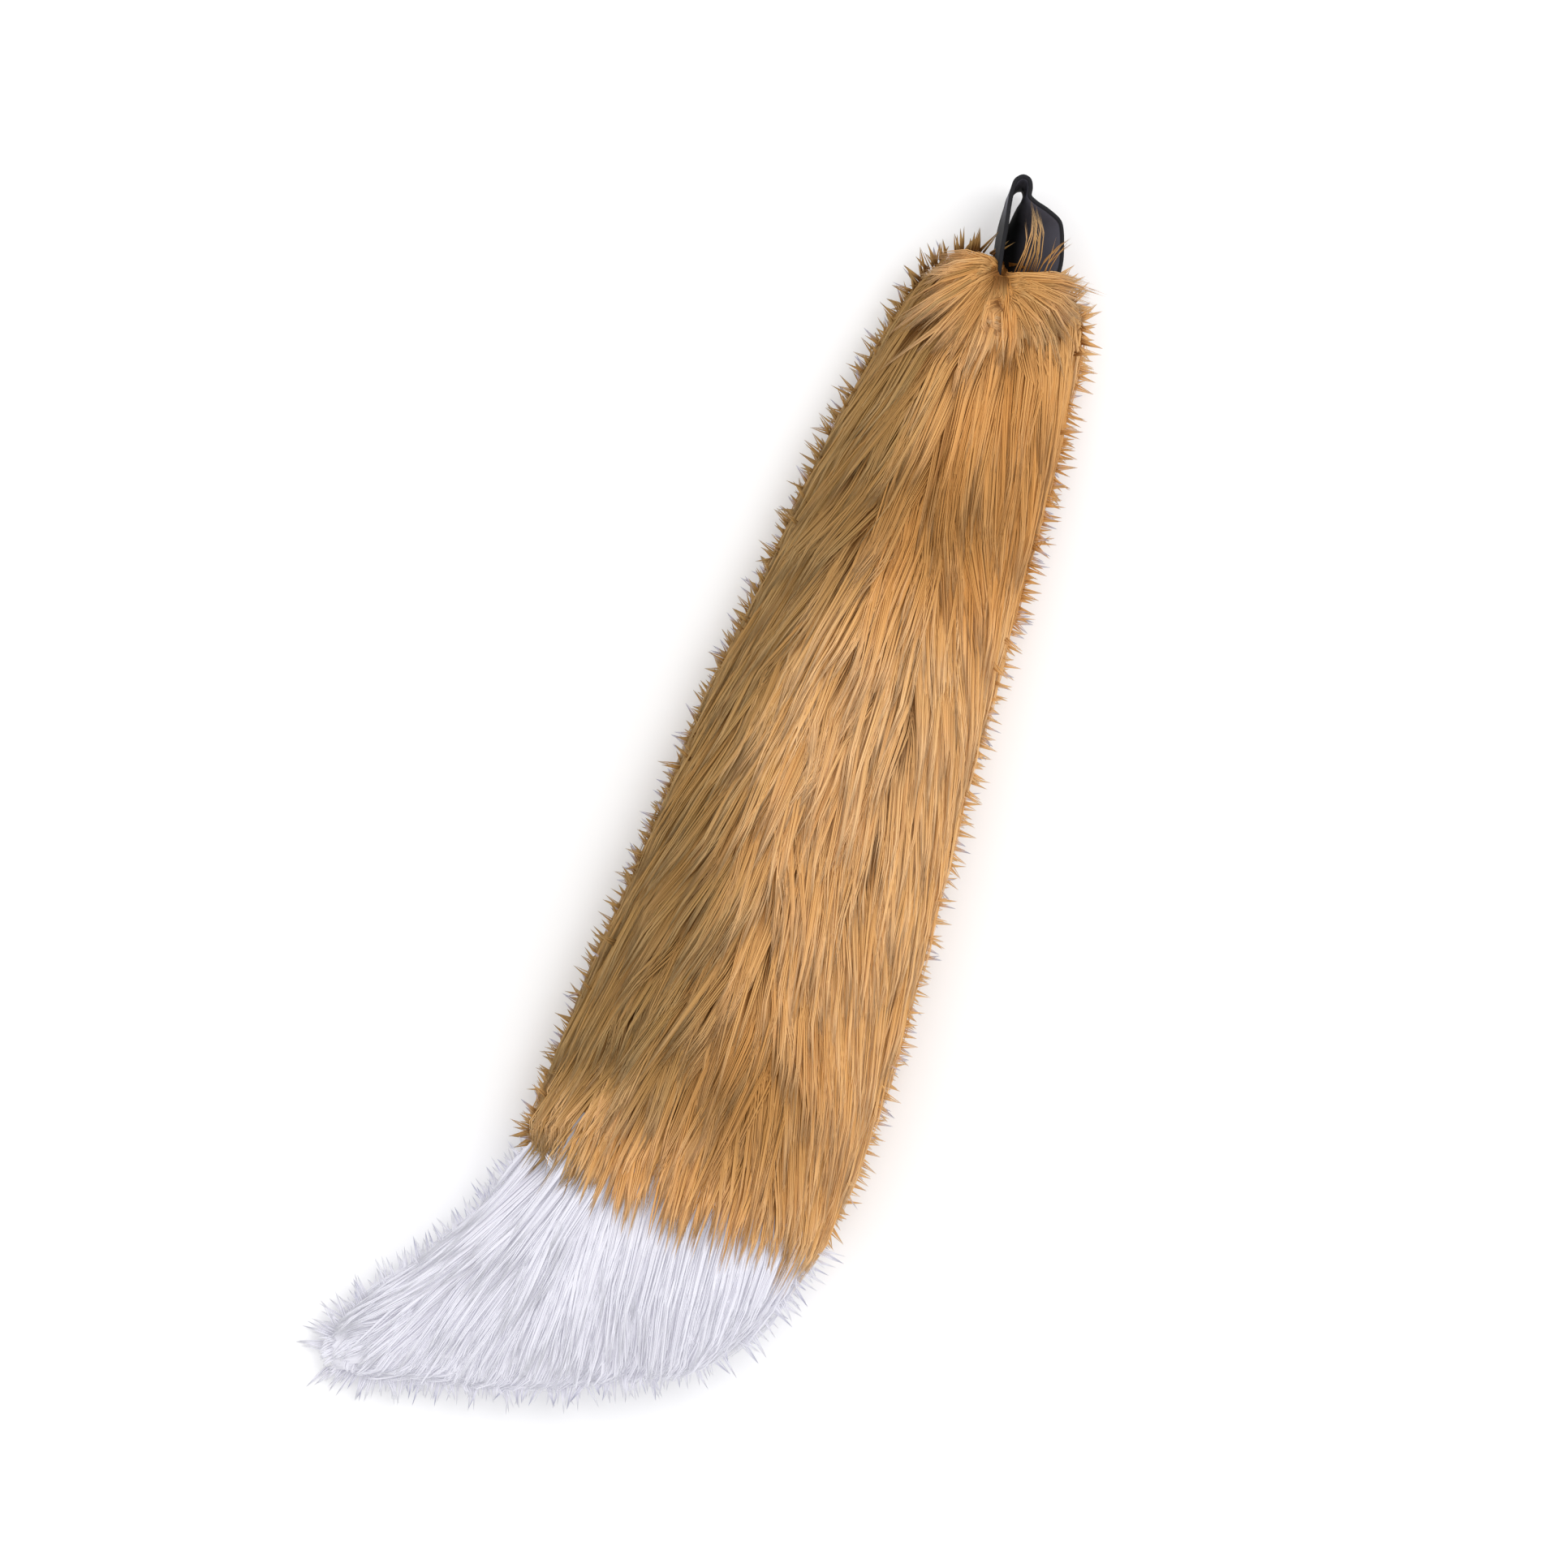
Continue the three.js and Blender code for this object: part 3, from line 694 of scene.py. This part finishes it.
def rim_tufts(name, place, turn, length):
    """Tufts at places on the surface. A tuft points along outward - slant * down. Its slant is the
    tangent of a random angle about BACK_LOW or BACK_HIGH degrees, and over the last of the tail it
    changes to -TIP_SLANT, which points on past the tip."""
    count = len(place)
    down, _, outward = skin_frame(place, turn)
    past = np.clip((place - TIP_DISTANCE + TURN_START) / TURN_SPAN, 0, 1)
    back = np.where(np.cos(turn) < 0, BACK_LOW, BACK_HIGH)
    slant = np.tan(np.radians(rng.normal(back, BACK_SPREAD))) * (1 - past) - TIP_SLANT * past
    way = outward + [0, 0, 0.1] - unit(down) * slant[:, None] + rng.normal(0, 0.12, (count, 3))
    way = unit(way)
    thick = np.interp(place / TIP_DISTANCE, SECTIONS[:, 0], SECTIONS[:, 1]) ** 0.6
    base = skin(place, turn) + outward * (PILE_LIFT * thick * 0.7)[:, None]
    reach = (length * rng.uniform(0.6, 1.25, count))[:, None, None]
    start = (np.linspace(-1, 1, PER_TUFT) * TUFT_WIDTH)[None, :, None] * unit(down)[:, None, :]
    start = start + rng.normal(0, 0.5 * MM, (count, PER_TUFT, 3))
    at = TUFT_STATIONS[None, None, :, None]
    paths = base[:, None, None] + start[:, :, None] * (1 - at) ** 0.8
    paths = paths + way[:, None, None] * (reach[..., None] * at)
    paths = paths.reshape(count * PER_TUFT, len(TUFT_STATIONS), 3)
    paths[..., 2] = np.maximum(paths[..., 2], 0.3 * MM)
    level = np.broadcast_to([0, 0, 1.0], paths.shape)
    halves = TUFT_HAIR_HALF * rng.uniform(0.7, 1.2, (len(paths), 1)) * np.array([1.0, 0.7])
    vertices, triangles = spikes(paths, level, halves)
    own = 0.4 + 0.6 * rng.random(len(paths))
    grey = ((rng.random(count) < GREY_SHARE) & (np.abs(np.sin(turn)) < 0.2)).astype(float)
    patch = np.repeat(patch_at(place, turn)[:, None], len(TUFT_STATIONS), 1)
    maps = hair_maps(TUFT_STATIONS, PER_TUFT, own, grey, patch)
    piece = piece_from(name, vertices, triangles, maps)
    return piece


# Columns: angle of the row round the section on the +X side, and the step between its tufts.
TUFT_ROWS = [(0.03, 2.0 * MM), (-0.12, 2.0 * MM), (-0.4, 4.0 * MM)]
LOW_FRINGE, HIGH_FRINGE = 22 * MM, 14 * MM
places, turns = [], []
for height, step in TUFT_ROWS:
    for flank in (height, np.pi - height):
        row = np.arange(7 * MM, TIP_DISTANCE - 3 * MM, step)
        places.append(row + rng.normal(0, 1.2 * MM, len(row)))
        turns.append(flank + rng.normal(0, 0.1, len(row)))
place, turn = np.maximum(np.concatenate(places), 0.6 * MM), np.concatenate(turns)
on_tan = skin(place, turn)[:, 1] > SEAM_Y - np.where(np.cos(turn) < 0, LOW_FRINGE, HIGH_FRINGE)
tan_rim = rim_tufts("tan_rim_tufts", place[on_tan], turn[on_tan], TAN_TUFT)
white_rim = rim_tufts("white_rim_tufts", place[~on_tan], turn[~on_tan], WHITE_TUFT)

# %% [markdown]
# ## The belt loop
#
# The loop is one strap of woven webbing, folded over and sewn into the blunt end with its two
# layers apart, so the high edge of one layer leans far out. A strap can bend and twist but not
# stretch, so its face is a ruled surface: straight lines that join a low edge to a high edge. Both
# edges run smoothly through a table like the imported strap's, and a rounded section runs along them.

# %% The strap's two edges
STRAP_WIDTH = 38 * MM
STRAP_HALF = 0.9 * MM
LOOP_HEIGHT, LOOP_SEAT, LOOP_SPREAD, LOOP_LOW_EDGE = 39.5 * MM, 9 * MM, 24 * MM, 7 * MM
STRAP_STATIONS = 170

# Columns: low edge x and y, high edge x and y, as shares of LOOP_SPREAD and LOOP_HEIGHT.
STRAP_ROUTE = np.array([
    (-0.06, -0.5, -0.02, -0.36), (-0.18, -0.1, -0.095, -0.1), (-0.28, 0.22, -0.2, 0.2),
    (-0.35, 0.46, -0.265, 0.44), (-0.37, 0.68, -0.34, 0.66), (-0.37, 0.82, -0.375, 0.82),
    (-0.3, 0.9, -0.365, 0.91), (-0.2, 0.92, -0.275, 0.965), (-0.135, 0.87, -0.165, 0.955),
    (-0.13, 0.8, -0.095, 0.885), (-0.16, 0.73, -0.06, 0.8), (-0.18, 0.65, 0.06, 0.765),
    (-0.2, 0.56, 0.32, 0.73), (-0.215, 0.46, 0.59, 0.665), (-0.21, 0.37, 0.67, 0.59),
    (-0.19, 0.28, 0.75, 0.47), (-0.14, 0.16, 0.84, 0.29), (-0.08, -0.04, 0.85, 0.07),
    (0.01, -0.26, 0.76, -0.13), (0.06, -0.5, 0.6, -0.26),
])
edges = STRAP_ROUTE * [LOOP_SPREAD, LOOP_HEIGHT, LOOP_SPREAD, LOOP_HEIGHT]
edges = edges - [0, LOOP_SEAT, 0, LOOP_SEAT]
rise = np.sqrt(STRAP_WIDTH**2 - ((edges[:, 2:] - edges[:, :2]) ** 2).sum(1))
route = smooth_line(np.c_[edges, LOOP_LOW_EDGE + rise], STRAP_STATIONS)
low_line = np.c_[route[:, :2], np.full(STRAP_STATIONS, LOOP_LOW_EDGE)] + BLUNT_PLACE
high_line = route[:, 2:] + BLUNT_PLACE
middle_steps = np.linalg.norm(np.diff((low_line + high_line) / 2, axis=0), axis=1)
strap_run = np.r_[0, np.cumsum(middle_steps)]
print(f"strap: {strap_run[-1] / MM:.0f} mm of webbing")

# %% The strap's section, run along its edges
FLAT_POINTS, ROUND_POINTS = 30, 5


def webbing_loop():
    """At each station the section lies between both edges: across = from the low edge to the high
    one, and out = along the face's own normal, the cross product of the run and the way across.
    Two flat faces are joined by half circles of the strap's half thickness."""
    flat = np.linspace(-1, 1, FLAT_POINTS)
    arc = np.linspace(-np.pi / 2, np.pi / 2, ROUND_POINTS + 2)[1:-1]
    reach = STRAP_WIDTH / 2 - STRAP_HALF
    across = np.r_[flat * reach, reach + np.cos(arc) * STRAP_HALF]
    out = np.r_[np.full(FLAT_POINTS, -STRAP_HALF), np.sin(arc) * STRAP_HALF]
    across, out = np.r_[across, -across], np.r_[out, -out]
    share = (across / STRAP_WIDTH + 0.5)[None, :, None]
    width = unit(high_line - low_line)[:, None]
    low_run, high_run = (np.gradient(line, axis=0)[:, None] for line in (low_line, high_line))
    run = low_run * (1 - share) + high_run * share
    face = unit(np.cross(run, np.broadcast_to(width, run.shape)))
    middle = low_line[:, None] * (1 - share) + high_line[:, None] * share
    points = middle + face * out[None, :, None]
    ends = np.stack([points[0].mean(0), points[-1].mean(0)])
    vertices = np.concatenate([points.reshape(-1, 3), ends])
    pairs = np.stack(np.broadcast_arrays(strap_run[:, None] / STRAP_WIDTH, share[..., 0]), -1)
    pairs = np.concatenate([pairs.reshape(-1, 2), [[0, 0.5], [1, 0.5]]])
    triangles = grid_triangles(STRAP_STATIONS, len(across))
    return piece_from("webbing_loop", vertices, triangles, {"weave": pairs})


loop = webbing_loop()
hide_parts("belt_loop")

# %% [markdown]
# ## The crown round the strap
#
# All round the strap's seam the pile stands up before it bends over, so it buries the strap's foot
# in a soft mound. A nap on the surface can't give that. A fan of guide curves can: each is a
# Bezier curve that rises from the seam and falls to its own side, and every lock takes its
# place between two guides. Further guides carry a small curl under the seam and the thin strands
# that stray over the strap.

# %% Guide curves
# Each row is one guide: four control points (x, y, height) in mm, from the middle of the blunt end.
# The fan goes round from the low X side of the strap, down the middle, to its high X side.
CROWN_FAN = np.array([
    ((-3.6, -12.2, 41), (-7.7, -6.5, 47), (-14.5, -4.6, 47), (-23.6, -10.5, 38)),
    ((-3.3, -12.4, 43), (-10.2, -10.5, 50), (-20.3, -13.8, 49), (-30.2, -27.2, 35)),
    ((-2.9, -12.8, 44), (-9.4, -15.7, 51), (-20, -26.6, 50), (-33.2, -49.5, 36)),
    ((-2.1, -13, 45), (-5.5, -20.2, 51), (-13.3, -36.1, 50), (-22.3, -62, 43)),
    ((-1.6, -13, 45), (-2.5, -21, 51), (-5.5, -38, 50), (-9, -62, 46)),
    ((-1, -13, 45), (1, -21, 51), (3, -38, 50), (2, -60, 47)),
    ((-0.4, -13, 45), (4.5, -20, 51), (11, -34, 50), (15, -54, 46)),
    ((0.4, -13.2, 45), (7.7, -17.5, 51), (19.1, -25.8, 50), (27.7, -44.2, 41)),
    ((0.4, -14, 45), (8.2, -14.6, 52), (22.3, -14.6, 52), (33, -28.7, 38)),
    ((0.6, -15, 44), (6.7, -12.6, 53), (20.1, -8, 53), (35.6, -12.1, 38)),
    ((0.8, -15.4, 43), (4.8, -12, 52), (15, -5.2, 51), (31.1, -3.8, 41)),
]) * MM
CURL = np.array([
    ((1, -22.6, 50), (-5.8, -25.8, 54), (-5.8, -34.6, 54), (3.2, -35.2, 50)),
    ((3, -24.2, 50), (-2.3, -27.8, 54), (-1.8, -33.1, 53), (4.6, -32.4, 50)),
]) * MM
STRAYS = np.array([
    ((3.6, -11, 44), (4.1, -2, 48), (5.2, 7, 49), (4.4, 15, 48)),
    ((10.7, -9.7, 46), (10.3, 0, 50), (9.4, 10, 50), (8.6, 18, 49)),
    ((14.4, -7.5, 46), (12.1, 2, 50), (15, 8, 50), (21, 13, 48)),
]) * MM

# How far the four control points of a lock stray, in mm.
GUIDE_UNREST = np.array([0.5, 1, 1.6, 2.4])


def guided_locks(name, guides, count, spread, light, body=1.0):
    """Locks between neighbouring guides. The control points of a lock are a blend of those of two
    guides, each moved at random, and its middle line is their cubic Bezier curve:
    (1-t)**3 * a + 3*(1-t)**2*t * b + 3*(1-t)*t**2 * c + t**3 * d."""
    place = (np.arange(count) + rng.random(count)) / count * (len(guides) - 1)
    low = place.astype(int)
    share = (place - low)[:, None, None]
    control = guides[low] * (1 - share) + guides[low + 1] * share
    control = control + rng.normal(0, 1.0 * MM, control.shape) * GUIDE_UNREST[:, None]
    control = control[:, :1] + (control - control[:, :1]) * rng.uniform(0.6, 1.15, (count, 1, 1))
    t = HAIR_STATIONS
    blend = np.stack([(1 - t) ** 3, 3 * (1 - t) ** 2 * t, 3 * (1 - t) * t**2, t**3], 1)
    middle = np.einsum("sc,lcx->lsx", blend, control) + BLUNT_PLACE
    outward = np.broadcast_to([0, 0, 1.0], middle.shape)
    patch = np.stack([light + rng.normal(0, 0.1, count), rng.uniform(0.4, 0.9, count)], 1)
    patch = np.repeat(patch[:, None], len(HAIR_STATIONS), 1)
    return lock_hairs(name, middle, outward, np.full(count, spread), patch, body)


# The fifth number is the lightness of the painted light and shade: painted shade on the crown and the
# stray hairs, and a slight painted highlight on the curl.
crown = guided_locks("crown_locks", CROWN_FAN, 150, 3.0 * MM, 0.33)
curl = guided_locks("crown_curl", CURL, 7, 1.0 * MM, 0.6, body=0.6)
strays = guided_locks("stray_hairs", STRAYS, 3, 2.2 * MM, 0.15, body=0.1)

# %% [markdown]
# ## Finishes of the pile
#
# Acrylic pile has a soft gloss and a colour that is dark at the root and light at the tip, and the
# dark root is also partly painted shade for the depth of the pile. The hair meshes carry three
# maps: one with a number of their own and the way down the hair, one with a number shared by the
# lock and the greyness of its tip, and one with the patches of painted light and shade and of
# warmth. The colour is mixed from those, so it follows every hair. Light also goes through such
# fine fibres and comes out all over the pile. A weak glow in the same colour stands in for it.

# %% A material for each colour of pile
GREY_TIP = colour(176, 176, 196)


def map_pair(start, name):
    """Both numbers of a UV map, as sockets."""
    pair = start.node("ShaderNodeUVMap", {"uv_map": name})
    return [start.node("ShaderNodeSeparateXYZ", (), {0: pair}, output) for output in (0, 1)]


def pile_material(name, root, body, tip, warm, painted_shade, glow):
    """Colour from root to tip down the hair, with the dark root partly painted shade of the pile's
    depth, pulled to warm by the lock's own number and its patch, given a painted highlight where its
    patch's lightness is high and painted shade where it is low, darker by the hair's own number,
    which is partly painted shade of depth, and grey at marked tips."""
    finish = {"Roughness": 0.6, "Specular_IOR_Level": 0.3, "Emission_Strength": glow}
    material, start, shader = new_material(name, **finish)
    own, down = map_pair(start, "strand")
    shared, grey = map_pair(start, "lock")
    light, warmth = map_pair(start, "patch")
    # The root colour at the root is partly painted shade of the depth in the pile.
    shade = down.ramp(0.0, 0.5).mix(root, body)
    shade = (down.ramp(0.45, 1.0) * 0.8).mix(shade, tip)
    shade = (shared.ramp(0.2, 1.0) * 0.3 + warmth.ramp(0.5, 1.0) * 0.6).mix(shade, warm)
    # Painted highlight where the patch's lightness is above the middle.
    shade = (light.ramp(0.5, 1.0) * 0.4).mix(shade, tip)
    # Painted shade: the colour is multiplied by the shade tint where the patch's lightness is low.
    shade = (1 - light.ramp(0.0, 0.5)).tint(shade, painted_shade)
    # Painted shade of depth: a low own number pulls the hair to the root colour.
    shade = (own.ramp(0.0, 0.7) * 0.5 + 0.5).mix(root, shade)
    shade = (grey * down.ramp(0.3, 1.0)).mix(shade, GREY_TIP)
    for socket in ("Base Color", "Emission Color"):
        material.node_tree.links.new(shade.socket, shader.inputs[socket])
    return material


# The fifth colour is the tint of the painted shade, and the dark root colour is partly painted shade
# of depth.
tan_pile = pile_material(
    "tan_pile", root=colour(120, 74, 28), body=colour(213, 165, 104), tip=colour(237, 202, 158),
    warm=colour(203, 143, 74), painted_shade=(0.49, 0.49, 0.41, 1), glow=0.13,
)
white_pile = pile_material(
    "white_pile", root=colour(206, 205, 213), body=colour(212, 211, 219), tip=colour(216, 216, 223),
    warm=colour(209, 208, 216), painted_shade=(0.99, 0.99, 0.99, 1), glow=0.28,
)
for piece in [tan_shell, *coats["tan"], tan_rim, crown, curl, strays]:
    piece.data.materials.append(tan_pile)
for piece in [white_shell, *coats["white"], white_rim]:
    piece.data.materials.append(white_pile)

# %% [markdown]
# ## The woven webbing
#
# Polyester webbing is a tight weave of thick yarns: ribs run along the strap and each one is
# crossed again and again. Modelled yarns would be far too many, so two crossed sine waves over the
# strap's own map give the bumps, and paint the gaps between the yarns darker than the crests as
# painted shade. The low part of the faces, deep inside the loop, the layer that is seen from its
# edge and the strap's high edge get painted shade.

# %% Ribs and crossings
RIB_PITCH = 1.3 * MM
CROSSING_PITCH = 1.7 * MM
webbing, start, shader = new_material("webbing", Roughness=0.8, Specular_IOR_Level=0.3)
along, across = map_pair(start, "weave")
ribs = (across * (2 * math.pi * STRAP_WIDTH / RIB_PITCH)).math("SINE")
crossings = (along * (2 * math.pi * STRAP_WIDTH / CROSSING_PITCH) + ribs * 1.5).math("SINE")
yarn = ribs * 0.25 + crossings * 0.25 + 0.5
# Painted shade in the gaps between the yarns, with lighter crests.
shade = yarn.ramp(0.1, 0.95).mix(colour(34, 34, 40), colour(98, 97, 108))
# Painted shade on the low part of the faces, deep inside the loop.
shade = (1 - across.ramp(0.2, 0.5)).mix(shade, colour(5, 5, 6))
# Painted shade on the layer that is seen from its edge.
shade = (1 - along.ramp(0.9, 1.3)).mix(shade, colour(24, 24, 28))
# Painted shade along the strap's high edge.
shade = across.ramp(0.955, 0.985).mix(shade, colour(22, 22, 26))
bump = start.node("ShaderNodeBump", (), {"Strength": 0.8, "Distance": 0.35 * MM, "Height": yarn})
webbing.node_tree.links.new(shade.socket, shader.inputs["Base Color"])
webbing.node_tree.links.new(bump.socket, shader.inputs["Normal"])
loop.data.materials.append(webbing)
